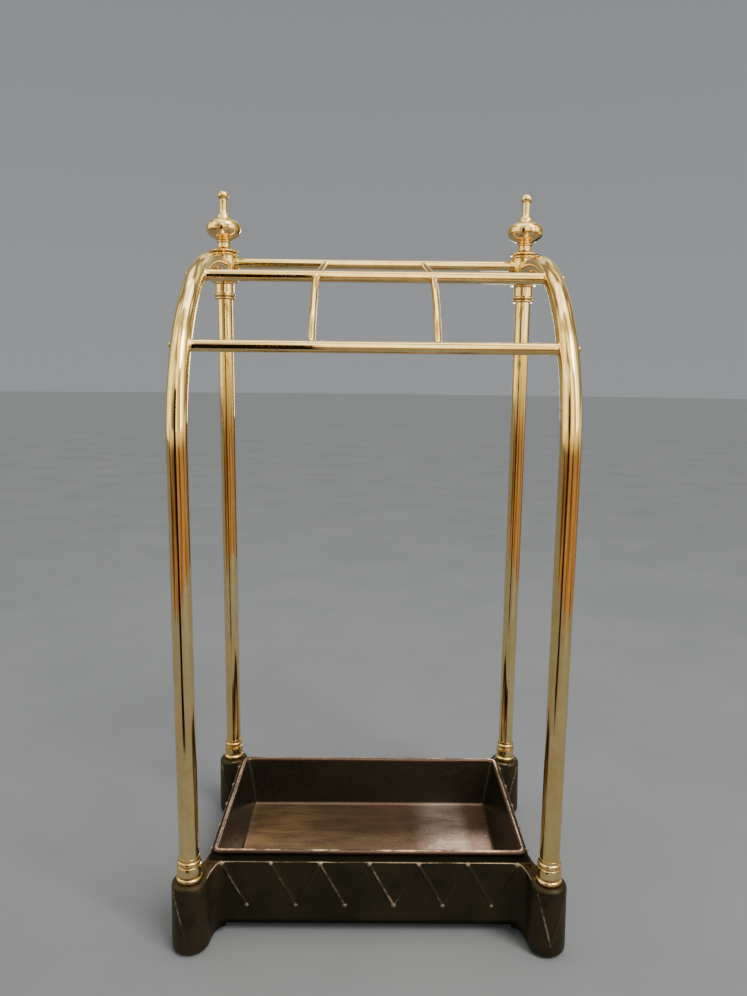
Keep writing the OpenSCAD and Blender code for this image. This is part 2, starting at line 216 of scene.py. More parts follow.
brassLook = {
    "patch": 14.0, "stretch": (1.0, 1.0, 0.35), "scratch": 55.0, "ripple": 22.0, "rough": 0.055,
    "pale": (0.93, 0.72, 0.34, 1), "deep": (0.85, 0.60, 0.23, 1),
    # the groove colour is tarnish with painted shade laid on
    "tarnish": (0.50, 0.27, 0.085, 1), "groove": (0.20, 0.09, 0.02, 1),
}
tubeBrass = brass("polished brass tube", brassLook)
turnedBrass = brass("turned brass", {**brassLook, "patch": 42.0, "stretch": (1, 1, 1), "ripple": 90.0, "rough": 0.09,
                                     "pale": (0.92, 0.71, 0.34, 1), "deep": (0.82, 0.57, 0.21, 1)})
castBrass = brass("cast brass", {**brassLook, "patch": 60.0, "stretch": (1, 1, 1), "ripple": 120.0, "rough": 0.14,
                                 "pale": (0.88, 0.65, 0.25, 1), "deep": (0.74, 0.48, 0.15, 1)})
print("brass ready")

# the near-black shade colour is painted shade, laid on the ledge under the tray's rim and under the aprons' lower edge
ironLook = {
    "black": (0.0062, 0.0056, 0.0026, 1), "olive": (0.0150, 0.0130, 0.0050, 1), "rust": (0.036, 0.020, 0.009, 1),
    "bareAndHighlight": (0.33, 0.255, 0.18, 1), "scratch": (0.05, 0.042, 0.03, 1), "soot": (0.003, 0.003, 0.002, 1),
    "tint": (1.0, 0.86, 0.55, 1), "rough": 0.38, "wear": 0.50,
}


def castIron(name, look):
    m, tree, shader = newMaterial(name)
    pos = position(tree)
    cloud = useGroup(tree, patches, Position=pos, Size=16.0, Sharpness=0.3)
    rusty = useGroup(tree, patches, Position=pos, Size=38.0, Sharpness=0.8)
    edge = useGroup(tree, rubbed, Position=pos, Amount=look["wear"], Breakup=210.0)
    hair = useGroup(tree, scratches, Position=pos, Scale=42.0, Density=0.25)
    rust = addNode(tree, "ShaderNodeAttribute", attribute_name="rust").outputs["Fac"]
    colour = mixColour(tree, cloud.outputs["Mask"], look["black"], look["olive"])
    brown = calc(tree, "MULTIPLY", rust, calc(tree, "MULTIPLY_ADD", rusty.outputs["Mask"], 0.75, 0.25), clamp=True)
    brown = calc(tree, "MAXIMUM", brown, calc(tree, "MULTIPLY", edge.outputs["Halo"], 0.4))
    # painted shade: the colour goes near black and the shine drops on the ledge under the tray and under the aprons
    soot = addNode(tree, "ShaderNodeAttribute", attribute_name="soot").outputs["Fac"]
    colour = mixColour(tree, brown, colour, look["rust"])
    colour = mixColour(tree, calc(tree, "MULTIPLY", hair.outputs["Mask"], 0.25), colour, look["scratch"])
    colour = mixColour(tree, calc(tree, "MULTIPLY", soot, 0.8), colour, look["soot"])
    # bare metal where worn; on the lit ribs this pale colour is partly a painted highlight
    colour = mixColour(tree, edge.outputs["Mask"], colour, look["bareAndHighlight"])
    tree.links.new(colour, shader.inputs["Base Color"])
    tree.links.new(calc(tree, "MULTIPLY", edge.outputs["Mask"], 0.75), shader.inputs["Metallic"])
    rough = calc(tree, "MULTIPLY_ADD", cloud.outputs["Fine"], 0.2, look["rough"] - 0.06)
    rough = calc(tree, "MULTIPLY_ADD", brown, 0.12, rough)
    rough = calc(tree, "MULTIPLY_ADD", soot, 0.3, rough, clamp=True)
    tree.links.new(rough, shader.inputs["Roughness"])
    tree.links.new(calc(tree, "MULTIPLY_ADD", soot, -0.28, 0.36), shader.inputs["Specular IOR Level"])
    shader.inputs["Specular Tint"].default_value = look["tint"]
    sand = addNode(tree, "ShaderNodeTexNoise", {"Vector": pos, "Scale": 520.0, "Detail": 4.0,
                                                "Roughness": 0.6}).outputs[0]
    lumps = addNode(tree, "ShaderNodeTexNoise", {"Vector": pos, "Scale": 70.0, "Detail": 3.0}).outputs[0]
    bumps(tree, shader, [(lumps, 0.5, 0.0012), (sand, 0.35, 0.0005), (hair.outputs["Mask"], 0.12, 0.0002)])
    return m


japannedIron = castIron("japanned cast iron", ironLook)

trayLook = {
    "floorDark": (0.062, 0.031, 0.019, 1), "floorPale": (0.20, 0.108, 0.062, 1), "gold": (0.40, 0.265, 0.12, 1),
    # the pale patch colour and its X span are a painted highlight, a lamp's gleam on the right of the floor
    "paintedGleam": (0.50, 0.37, 0.31, 1), "paintedGleamX": (0.050, 0.095, 0.118, 0.140), "giltX": (0.02, -0.12),
    "wallDark": (0.0062, 0.0056, 0.0030, 1), "wallBrown": (0.020, 0.015, 0.008, 1), "rim": (0.78, 0.55, 0.44, 1),
    "bead": (0.105, 0.058, 0.040, 1), "scratch": (0.30, 0.19, 0.13, 1), "halo": (0.075, 0.042, 0.028, 1),
}


def bronzedTray(name, look):
    m, tree, shader = newMaterial(name)
    pos = position(tree)
    across = addNode(tree, "ShaderNodeSeparateXYZ", {0: pos}).outputs[0]
    floorMask = addNode(tree, "ShaderNodeAttribute", attribute_name="floor").outputs["Fac"]
    cloud = useGroup(tree, patches, Position=pos, Size=7.0, Stretch=(1, 1.3, 1), Sharpness=-0.6)
    worn = useGroup(tree, patches, Position=pos, Size=22.0, Stretch=(0.8, 5.0, 1), Sharpness=0.2)
    edge = useGroup(tree, rubbed, Position=pos, Amount=0.3, Breakup=150.0)
    hair = useGroup(tree, scratches, Position=pos, Scale=34.0, Density=0.55)
    floorColour = mixColour(tree, cloud.outputs["Mask"], look["floorDark"], look["floorPale"])
    leftSide = calc(tree, "MULTIPLY", remap(tree, across, *look["giltX"]), cloud.outputs["Mask"])
    gilt = calc(tree, "ADD", calc(tree, "MULTIPLY", leftSide, 0.7), 0.12)
    gilt = calc(tree, "MULTIPLY", gilt, worn.outputs["Mask"])
    floorColour = mixColour(tree, calc(tree, "MULTIPLY", gilt, 0.9), floorColour, look["gold"])
    # painted highlight: a pale patch on the right of the floor stands in for a lamp's gleam, broken up by the worn
    # patches
    near, full, fade, far = look["paintedGleamX"]
    paintedGleam = calc(tree, "MULTIPLY", remap(tree, across, near, full), remap(tree, across, far, fade))
    paintedGleam = calc(tree, "MULTIPLY", paintedGleam, calc(tree, "MULTIPLY_ADD", worn.outputs["Mask"], 0.5, 0.4))
    floorColour = mixColour(tree, paintedGleam, floorColour, look["paintedGleam"])
    wallColour = mixColour(tree, cloud.outputs["Mask"], look["wallDark"], look["wallBrown"])
    colour = mixColour(tree, floorMask, wallColour, floorColour)
    beadMask = addNode(tree, "ShaderNodeAttribute", attribute_name="bead").outputs["Fac"]
    colour = mixColour(tree, beadMask, colour, look["bead"])
    hairline = calc(tree, "MULTIPLY", calc(tree, "MULTIPLY_ADD", floorMask, 0.2, 0.06), hair.outputs["Mask"])
    colour = mixColour(tree, hairline, colour, look["scratch"])
    colour = mixColour(tree, calc(tree, "MULTIPLY", edge.outputs["Halo"], 0.55), colour, look["halo"])
    # pale copper where rubbed; on the bead's top and the fold into the floor it is partly a painted highlight
    colour = mixColour(tree, edge.outputs["Mask"], colour, look["rim"])
    tree.links.new(colour, shader.inputs["Base Color"])
    metal = calc(tree, "MULTIPLY_ADD", floorMask, 0.5, 0.1)
    metal = calc(tree, "MAXIMUM", metal, calc(tree, "MULTIPLY", beadMask, 0.7))
    metal = calc(tree, "MAXIMUM", metal, calc(tree, "MULTIPLY", edge.outputs["Mask"], 0.9))
    tree.links.new(metal, shader.inputs["Metallic"])
    rough = calc(tree, "MULTIPLY_ADD", worn.outputs["Fine"], 0.26, 0.13)
    rough = calc(tree, "MULTIPLY_ADD", cloud.outputs["Mask"], 0.08, rough, clamp=True)
    tree.links.new(rough, shader.inputs["Roughness"])
    shader.inputs["Coat Weight"].default_value = 0.2
    shader.inputs["Coat Roughness"].default_value = 0.25
    dents = addNode(tree, "ShaderNodeTexNoise", {"Vector": pos, "Scale": 26.0, "Detail": 3.0}).outputs[0]
    skin = addNode(tree, "ShaderNodeTexNoise", {"Vector": pos, "Scale": 380.0, "Detail": 4.0}).outputs[0]
    bumps(tree, shader, [(dents, 0.4, 0.0025), (skin, 0.3, 0.0004), (hair.outputs["Mask"], 0.15, 0.0002)])
    return m


trayMetal = bronzedTray("bronzed tray", trayLook)

steelLook = {"pale": (0.34, 0.33, 0.31, 1), "dark": (0.19, 0.15, 0.12, 1)}


def dullSteel(name, look):
    m, tree, shader = newMaterial(name)
    pos = position(tree)
    cloud = useGroup(tree, patches, Position=pos, Size=55.0, Sharpness=0.5)
    hair = useGroup(tree, scratches, Position=pos, Scale=80.0, Density=0.5)
    colour = mixColour(tree, cloud.outputs["Mask"], look["pale"], look["dark"])
    tree.links.new(colour, shader.inputs["Base Color"])
    tree.links.new(calc(tree, "MULTIPLY_ADD", cloud.outputs["Mask"], 0.25, 0.35), shader.inputs["Roughness"])
    shader.inputs["Metallic"].default_value = 1.0
    bumps(tree, shader, [(cloud.outputs["Fine"], 0.2, 0.0002), (hair.outputs["Mask"], 0.1, 0.0001)])
    return m


boltSteel = dullSteel("dull steel", steelLook)
print("materials ready")


def layer(bm, name):
    return bm.verts.layers.float.get(name) or bm.verts.layers.float.new(name)


def skinRings(bm, rings, closed=False):         # closed joins the last ring to the first, else both ends are capped
    for a, b in zip(rings, rings[1:] + ([rings[0]] if closed else [])):
        n = len(a)
        for i in range(n):
            bm.faces.new((a[i], a[(i + 1) % n], b[(i + 1) % n], b[i]))
    if not closed:
        bm.faces.new(list(reversed(rings[0])))
        bm.faces.new(rings[-1])


# a turned shape, with a groove value where it dips in (darkened as tarnish with painted shade laid on) and a
# wear-and-sheen value where it stands proud
def turn(bm, profile, centre, steps=72, closed=False, axis="Z"):
    radii = np.array([p[0] for p in profile])
    heights = np.array([p[1] for p in profile])
    along = np.concatenate([[0], np.cumsum(np.hypot(np.diff(radii), np.diff(heights)))])
    soft = np.array([np.average(radii, weights=np.exp(-((along - s) / 1.3) ** 2)) for s in along])
    hollow = np.clip((soft - radii) / 0.55, 0, 1)
    proud = np.clip((radii - soft) / 0.8, 0, 1)
    groove, wearAndSheenLayer = layer(bm, "groove"), layer(bm, "rub")
    rings = []
    for (r, h), sunk, raised in zip(profile, hollow, proud):
        ring = []
        for i in range(steps):
            a = 2 * math.pi * i / steps
            p = (max(r, 0.01) * math.cos(a), max(r, 0.01) * math.sin(a), h)
            if axis == "X":
                p = (p[2], p[0], p[1])
            elif axis == "-Y":
                p = (p[0], -p[2], p[1])
            v = bm.verts.new((p[0] + centre[0], p[1] + centre[1], p[2] + centre[2]))
            v[groove] = float(sunk)
            v[wearAndSheenLayer] = float(raised)
            ring.append(v)
        rings.append(ring)
    skinRings(bm, rings, closed)


def arcPoints(cx, cz, r, a0, a1, n):
    return [(cx + r * math.cos(math.radians(a0 + (a1 - a0) * i / n)),
             cz + r * math.sin(math.radians(a0 + (a1 - a0) * i / n))) for i in range(n + 1)]


def densify(points, step):
    out = [points[0]]
    for a, b in zip(points, points[1:]):
        n = max(1, int(math.hypot(b[0] - a[0], b[1] - a[1]) / step))
        out += [(a[0] + (b[0] - a[0]) * i / n, a[1] + (b[1] - a[1]) * i / n) for i in range(1, n + 1)]
    return out


def sweep(bm, path, radius, steps=48):
    pts = [Vector(p) for p in path]
    radii = radius if isinstance(radius, list) else [radius] * len(pts)
    last = len(pts) - 1
    tangents = [(pts[min(i + 1, last)] - pts[max(i - 1, 0)]).normalized() for i in range(len(pts))]
    turns = [2 * math.pi * i / steps for i in range(steps)]
    side = tangents[0].orthogonal().normalized()
    rings = []
    for p, t, r in zip(pts, tangents, radii):
        side = (side - t * side.dot(t)).normalized()
        up = t.cross(side)
        rings.append([bm.verts.new(p + r * (side * math.cos(a) + up * math.sin(a))) for a in turns])
    skinRings(bm, rings)


def prism(bm, bottom, top):
    low = [bm.verts.new(p) for p in bottom]
    high = [bm.verts.new(p) for p in top]
    skinRings(bm, [low, high])


def finishPiece(name, bm, material, nodes, body="stand", sharp=40, mirrored=False):
    if mirrored:
        bmesh.ops.scale(bm, vec=(-1, 1, 1), verts=bm.verts)
    bmesh.ops.scale(bm, vec=(toMetres, toMetres, toMetres), verts=bm.verts)
    bmesh.ops.recalc_face_normals(bm, faces=bm.faces)
    mesh = bpy.data.meshes.new(name)
    bm.to_mesh(mesh)
    bm.free()
    mesh.shade_smooth()
    mesh.set_sharp_from_angle(angle=math.radians(sharp))
    piece = bpy.data.objects.new(name, mesh)
    bpy.context.scene.collection.objects.link(piece)
    mesh.materials.append(material)
    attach(piece, body)
    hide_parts(*nodes)
    return piece


def bendPath(endY, steps=60, straight=8):
    path = []
    for i in range(steps + 1):
        y, z = onBend(90 * i / steps)
        path.append((postX, y, z))
    return path + [(postX, bendY + (endY - bendY) * i / straight, archZ) for i in range(1, straight + 1)]


# arched front tubes: up from the foot, round the bend and back to the connector
for side, mirrored in (("left", True), ("right", False)):
    bm = bmesh.new()
    upright = [(postX, -postY, stand["footTop"] + (bendZ - stand["footTop"]) * i / 40) for i in range(40)]
    sweep(bm, upright + bendPath(postY - 12), stand["tubeR"], 56)
    finishPiece("archTube." + side, bm, tubeBrass, ["arch_tube_" + side], mirrored=mirrored)

    bm = bmesh.new()
    sweep(bm, [(postX, postY, stand["footTop"] + (stand["connectorZ"] - stand["footTop"]) * i / 40) for i in range(41)],
          stand["postR"], 56)
    finishPiece("rearPost." + side, bm, tubeBrass, ["rear_post_" + side], mirrored=mirrored)
print("tubes done")

# collars: a flange on the foot, a barrel and a bead above
for place, x, y, r, node in (("frontLeft", -1, -1, stand["tubeR"], "front_collar_left"),
                             ("frontRight", 1, -1, stand["tubeR"], "front_collar_right"),
                             ("rearLeft", -1, 1, stand["postR"], "rear_collar_left"),
                             ("rearRight", 1, 1, stand["postR"], "rear_collar_right")):
    profile = [(r + 0.05, 0), (r + 2.6, 0)] + arcPoints(r + 1.0, 2.8, 2.75, -70, 62, 10) + [(r + 2.2, 5.7)]
    profile += [(r + 1.95 + 1.05 * math.sin(math.pi * i / 12), 6.2 + 11.6 * i / 12) for i in range(13)]
    profile += [(r + 1.1, 18.3), (r + 1.1, 19.0)] + arcPoints(r - 0.9, 22.0, 3.0, -48, 56, 10)
    profile += [(r + 0.75, 25.2), (r + 0.6, 26.6), (r + 0.4, 27.9), (r + 0.05, 28.0)]
    bm = bmesh.new()
    turn(bm, densify(profile, 0.5), (x * postX, y * postY, stand["footTop"]), 72)
    finishPiece("collar." + place, bm, turnedBrass, [node])
print("collars done")

# ferrule, connector and finial on each rear post
bulb = []
for i in range(41):
    a = math.radians(-64 + 3.2 * i)
    tall = 14.6 if a < 0 else 12.6
    bulb.append((23.4 * math.cos(a) ** 0.85, 31 + tall * math.copysign(abs(math.sin(a)) ** 0.9, a)))
knob = [(7.5 * math.cos(math.radians(a)), 72.6 + 6.2 * math.sin(math.radians(a))) for a in range(-50, 91, 7)]
finialProfile = ([(0, 0), (18.0, 0)] + arcPoints(18.1, 1.25, 1.15, -70, 60, 6) + [(17.6, 2.6)]
                 + arcPoints(17.1, 10.2, 8.5, 246, 184, 12) + [(8.4, 12.2)]
                 + arcPoints(8.7, 13.9, 1.25, -75, 75, 7) + [(9.6, 15.8)]
                 + bulb + [(10.2, 43.3), (9.4, 44.6)] + arcPoints(16.4, 56.0, 11.4, 226, 186, 10)
                 + [(4.95, 58.5), (4.85, 62.0), (5.0, 65.2), (5.4, 66.3), (5.0, 67.1)] + knob)
ferruleProfile = ([(10.05, 0.0), (12.4, 0.0)] + arcPoints(12.55, 1.5, 1.35, -80, 80, 8) + [(12.4, 3.1), (12.6, 4.0)]
                  + arcPoints(13.1, 5.6, 1.5, -80, 80, 8)
                  + [(12.9, 7.4), (12.6, 8.2), (12.5, 19.4), (13.2, 20.8), (13.3, 21.9), (10.05, 21.95)])
connectorProfile = ([(0.1, 0), (16.4, 0)] + arcPoints(16.7, 2.2, 2.1, -85, 85, 8)
                    + [(16.5, 4.7), (16.2, 5.6), (16.3, 33.6), (16.5, 34.9)]
                    + arcPoints(16.0, 36.4, 1.5, -40, 60, 5) + [(16.1, 38.6), (0.1, 39.0)])
for side, mirrored in (("left", True), ("right", False)):
    bm = bmesh.new()
    turn(bm, densify(finialProfile, 0.6), (postX, postY, stand["finialZ"]), 80)
    finishPiece("finial." + side, bm, turnedBrass, ["finial_" + side], sharp=50, mirrored=mirrored)

    bm = bmesh.new()
    turn(bm, densify(ferruleProfile, 0.5), (postX, postY, stand["ferruleZ"]), 72)
    finishPiece("ferrule." + side, bm, turnedBrass, ["post_ferrule_" + side], mirrored=mirrored)

    bm = bmesh.new()
    turn(bm, densify(connectorProfile, 0.8), (postX, postY, stand["connectorZ"]), 80)
    socket = [(0.1, 6), (13.2, 6), (13.2, 17.2)] + arcPoints(12.2, 18.6, 1.4, 0, 80, 5) + [(11.02, 20.0), (10.9, 12)]
    turn(bm, densify(socket, 0.8), (postX, postY, archZ), 72, axis="-Y")
    bossProfile = [(0.1, 6), (8.6, 6), (8.6, 16.8)] + arcPoints(7.6, 18.2, 1.2, 10, 85, 5) + [(6.4, 19.5), (6.3, 12)]
    turn(bm, [(r, -h) for r, h in densify(bossProfile, 0.8)], (postX, postY, stand["rearRailZ"]), 64, axis="X")
    finishPiece("connector." + side, bm, castBrass, ["connector_" + side], mirrored=mirrored)
print("fittings done")


# cross rails, each a little waisted at its soldered ends
def railPiece(name, y, z, halfLength, node, fillet):
    bm = bmesh.new()
    n = 60
    xs = [-halfLength + 2 * halfLength * i / n for i in range(n + 1)]
    for e in (0.6, 1.4, 2.4):
        xs += [-halfLength + e, halfLength - e]
    xs = sorted(xs)
    radii = []
    for x in xs:
        near = halfLength - abs(x)
        radii.append(stand["railR"] + fillet * max(0.0, 1 - near / 2.6) ** 2)
    sweep(bm, [(x, y, z) for x in xs], radii, 40)
    return finishPiece(name, bm, tubeBrass, [node])


y, z = onBend(stand["frontRailAngle"])
railPiece("frontRail", y, z, 191.2, "front_rail", 1.0)
y, z = onBend(stand["middleRailAngle"])
railPiece("middleRail", y, z, 191.2, "middle_rail", 1.0)
railPiece("rearRail", postY, stand["rearRailZ"], 190.4, "rear_rail", 0.0)

# curved dividers between the front and middle rails, straight ones on to the rear rail
middleY, middleZ = onBend(stand["middleRailAngle"])
railSweep = stand["middleRailAngle"] - stand["frontRailAngle"]
for side, mirrored in (("left", True), ("right", False)):
    curve = []
    for i in range(61):
        y, z = onBend(stand["frontRailAngle"] + 1.3 + (railSweep - 2.6) * i / 60)
        curve.append((stand["dividerX"], y, z))
    away = Vector((0, postY - middleY, stand["rearRailZ"] - middleZ))
    reachBack, away = away.length, away.normalized()
    middle = Vector((stand["dividerX"], middleY, middleZ))
    straight = [tuple(middle + away * (5.2 + (reachBack - 10.4) * i / 80)) for i in range(81)]
    for name, path, node in (("frontDivider.", curve, "front_divider_"), ("rearDivider.", straight, "rear_divider_")):
        bm = bmesh.new()
        length = sum((Vector(b) - Vector(a)).length for a, b in zip(path, path[1:]))
        radii = [stand["dividerR"] + 0.9 * max(0.0, 1 - min(i, len(path) - 1 - i) / (len(path) - 1) * length / 3.6) ** 2
                 for i in range(len(path))]
        sweep(bm, path, radii, 32)
        finishPiece(name + side, bm, tubeBrass, [node + side], mirrored=mirrored)

# slotted round-headed screws through the arched tubes into the rails
bm = bmesh.new()
for sx in (-1, 1):
    for angle in (stand["frontRailAngle"], stand["middleRailAngle"]):
        y, z = onBend(angle)
        tilt = 0.5 + 0.9 * sx + angle * 0.03
        dome = [(0.05, 0.0), (3.35, 0.0), (3.4, 0.5), (3.3, 1.0)] + arcPoints(0, -1.35, 3.9, 38, 88, 8)
        start = len(bm.verts)
        turn(bm, densify(dome, 0.3), (0, 0, 0), 40, axis="X")
        bm.verts.ensure_lookup_table()
        for v in list(bm.verts)[start:]:
            across = v.co.y * math.cos(tilt) + v.co.z * math.sin(tilt)
            # the slot is marked as groove, so it is darkened: tarnish and painted shade in the slot
            if abs(across) < 0.5 and v.co.x > 1.6:
                v.co.x = 1.6
                v[layer(bm, "groove")] = 1.0
            v.co = Vector((sx * (postX + stand["tubeR"] - 0.05 + v.co.x), y + v.co.y, z + v.co.z))
finishPiece("railScrews", bm, turnedBrass, ["rail_screws"])
print("rails done")

# cast base: rough solids run together, then softened as a casting is
base = {
    "halfX": 185.5, "halfY": 121.0, "top": 92.0, "gap": 10.0, "wall": 6.0, "lipHigh": 19.0, "lipIn": 5.0,
    "ledge": 6.0, "ledgeX": 7.2, "ledgeY": 14.2, "fillet": 16.0, "footR": 21.2, "footTopR": 20.0,
    "ribR": 1.4, "thinRibR": 1.2, "footRibR": 1.3, "bossR": 2.3, "ribLow": 38.6, "ribHigh": 90.0, "voxel": 0.95,
    "veeLow": 19.0, "veeHigh": 76.0, "veeHalf": 14.5,
    # how strongly each kind of line is painted bright, as rubbed metal and partly as a painted highlight where the
    # light catches it, and how wide
    "wear": {"rib": (0.66, 1.0), "faintRib": (0.40, 0.9), "edge": (0.72, 0.7), "crest": (0.74, 0.8)},
}


def wallSection(bm, half, out, turned):
    b = base
    section = [(0, b["top"]), (0, b["lipHigh"]), (1.2, 15), (b["lipIn"], b["gap"] + 0.6), (b["lipIn"] + 1.6, b["gap"]),
               (b["lipIn"] + 4, b["gap"]), (b["wall"], b["lipHigh"]), (b["wall"], b["top"])]
    for s in (-1, 1):
        def place(along, inward, z):
            p = (along, s * (out - inward), z)
            return (p[1], p[0], z) if turned else p
        prism(bm, [place(-half, d, z) for d, z in section], [place(half, d, z) for d, z in section])


def ribPath(bm, points, r, lines):
    sweep(bm, points, r, 10)
    lines += list(zip(points, points[1:]))


def dome(bm, centre, r):
    m = bmesh.ops.create_uvsphere(bm, u_segments=12, v_segments=8, radius=r)
    bmesh.ops.translate(bm, vec=centre, verts=m["verts"])


bm = bmesh.new()
wornLitLines, wornShadedLines, crestLines, bosses = [], [], [], []
hx, hy, top = base["halfX"], base["halfY"], base["top"]
wallSection(bm, hx, hy, False)
wallSection(bm, hy, hx, True)
for s in (-1, 1):
    yo, yi = s * (hy - 0.5), s * (hy - base["ledgeY"])
    quad = [(-hx + 0.5, yo), (hx - 0.5, yo), (hx - 0.5, yi), (-hx + 0.5, yi)]
    prism(bm, [(x, y, top - base["ledge"]) for x, y in quad], [(x, y, top) for x, y in quad])
    xo, xi = s * (hx - 0.5), s * (hx - base["ledgeX"])
    quad = [(xo, -hy + 0.5), (xo, hy - 0.5), (xi, hy - 0.5), (xi, -hy + 0.5)]
    prism(bm, [(x, y, top - base["ledge"]) for x, y in quad], [(x, y, top) for x, y in quad])

reach = base["footTopR"] + base["fillet"]
sideC = (hx + base["fillet"], postY - math.sqrt(reach ** 2 - (hx + base["fillet"] - postX) ** 2))
frontC = (postX - math.sqrt(reach ** 2 - (hy + base["fillet"] - postY) ** 2), hy + base["fillet"])


def concave(centre, start, end, n=10):
    a0 = math.atan2(start[1] - centre[1], start[0] - centre[0])
    a1 = math.atan2(end[1] - centre[1], end[0] - centre[0])
    while a1 - a0 > math.pi:
        a1 -= 2 * math.pi
    while a0 - a1 > math.pi:
        a1 += 2 * math.pi
    r = base["fillet"]
    angles = [a0 + (a1 - a0) * i / n for i in range(n + 1)]
    return [(centre[0] + r * math.cos(a), centre[1] + r * math.sin(a)) for a in angles]


def towardFoot(centre):
    d = Vector((postX - centre[0], postY - centre[1])).normalized()
    return (centre[0] + d.x * base["fillet"], centre[1] + d.y * base["fillet"])


sideArc = concave(sideC, (hx, sideC[1]), towardFoot(sideC))
frontArc = concave(frontC, towardFoot(frontC), (frontC[0], hy))
footArc = []
d0 = math.atan2(sideArc[-1][1] - postY, sideArc[-1][0] - postX)
d1 = math.atan2(frontArc[0][1] - postY, frontArc[0][0] - postX)
if d1 > d0:
    d1 -= 2 * math.pi
if d0 - d1 > math.pi:
    d1 += 2 * math.pi
for i in range(9):
    a = d0 + (d1 - d0) * i / 8
    footArc.append((postX + 14 * math.cos(a), postY + 14 * math.sin(a)))
webX, webY = hx - base["wall"] + 1, hy - base["wall"] + 1
webPlan = [(webX, sideC[1])] + sideArc + footArc + frontArc + [(frontC[0], webY), (webX, webY)]


def webTop(x, y):
    away = math.hypot(x - postX, y - postY)
    t = min(1.0, max(0.0, (away - 16.0) / 20.0))
    return 83.0 + (top - 83.0) * (3 * t * t - 2 * t ** 3)


def webBottom(x, y):                            # the aprons' lower edge curves down into the foot
    u = min(1.0, max(0.0, min(x - frontC[0], y - sideC[1]) / 15.0))
    return 1.0 + (base["gap"] - 1.0) * math.sqrt(1.0 - u * u)


footProfile = ([(11.0, 0.0), (13.6, 0.0)] + arcPoints(13.4, 7.9, 7.9, -82, 0, 9)
               + [(21.3, 14.0), (21.0, 30.0), (20.5, 55.0), (20.1, 76.0)]
               + arcPoints(14.6, 77.9, 5.5, 4, 86, 7) + [(4.5, 84.0), (4.5, 14.0), (11.0, 14.0)])
for sx in (-1, 1):
    for sy in (-1, 1):
        prism(bm, [(sx * x, sy * y, webBottom(x, y)) for x, y in webPlan],
              [(sx * x, sy * y, webTop(x, y)) for x, y in webPlan])
        turn(bm, densify(footProfile, 4.0), (sx * postX, sy * postY, 0), 48, closed=True)
        for arc in (sideArc, frontArc):
            crest = [(sx * x, sy * y, webTop(x, y) - 0.5) for x, y in arc]
            crestLines += list(zip(crest, crest[1:]))
        # vee on the front and back of each foot
        for face in (-1, 1):
            for arm in (-1, 1):
                points = []
                for i in range(9):
                    t = i / 8
                    z = base["veeLow"] + (base["veeHigh"] - base["veeLow"]) * t
                    u = arm * base["veeHalf"] * t
                    r = base["footR"] - 1.15 * z / 84 + 0.1
                    points.append((sx * postX + u, sy * postY + face * math.sqrt(max(0.0, r * r - u * u)), z))
                # the arm the light catches on the front feet, and both arms on the back feet, get the brighter rub:
                # wear with a painted highlight laid on
                ribPath(bm, points, base["footRibR"], wornLitLines if arm < 0 or sy > 0 else wornShadedLines)
# zigzag ribs with small round bosses at their points
for sgn in (-1, 1):
    for count, pitch, out, turned in ((6, 56.4, hy, False), (4, 47.0, hx, True)):
        points = []
        for i in range(2 * count + 1):
            u = (i / 2 - count / 2) * pitch
            z = base["ribHigh"] if i % 2 == 0 else base["ribLow"]
            p = (u, sgn * (out + 0.1), z) if not turned else (sgn * (out + 0.1), u, z)
            points.append(p)
            dome(bm, p, base["bossR"])
            bosses.append(p)
        for i, (a, b) in enumerate(zip(points, points[1:])):
            along = [tuple(Vector(a).lerp(Vector(b), k / 8)) for k in range(9)]
            # the strokes the light catches get the brighter rub, a painted highlight laid on the wear; the others stay
            # faint
            ribPath(bm, along, base["ribR"] if i % 2 == 0 else base["thinRibR"],
                    wornLitLines if i % 2 == 0 else wornShadedLines)

rough = bpy.data.meshes.new("rough")
bmesh.ops.recalc_face_normals(bm, faces=bm.faces)
bmesh.ops.scale(bm, vec=(toMetres,) * 3, verts=bm.verts)
bm.to_mesh(rough)
bm.free()
block = bpy.data.objects.new("rough", rough)
bpy.context.scene.collection.objects.link(block)
remesh = block.modifiers.new("run together", "REMESH")
remesh.mode = "VOXEL"
remesh.voxel_size = base["voxel"] * toMetres
soften = block.modifiers.new("soften", "SMOOTH")
soften.factor = 0.5
soften.iterations = 2
thin = block.modifiers.new("thin out", "DECIMATE")
thin.ratio = 0.4
cast = bpy.data.meshes.new_from_object(block.evaluated_get(bpy.context.evaluated_depsgraph_get()))
bpy.data.objects.remove(block)
bm = bmesh.new()
bm.from_mesh(cast)
bmesh.ops.scale(bm, vec=(1 / toMetres,) * 3, verts=bm.verts)
bpy.data.meshes.remove(cast)
print("casting run together:", len(bm.verts), "points")


def nearLines(points, lines, width):
    best = np.full(len(points), 1e9)
    for a, b in lines:
        a, b = np.array(a), np.array(b)
        d = b - a
        t = np.clip(((points - a) @ d) / max(1e-9, d @ d), 0, 1)
        best = np.minimum(best, np.linalg.norm(points - (a + t[:, None] * d), axis=1))
    return np.clip(1.0 - (best - width) / width, 0, 1)


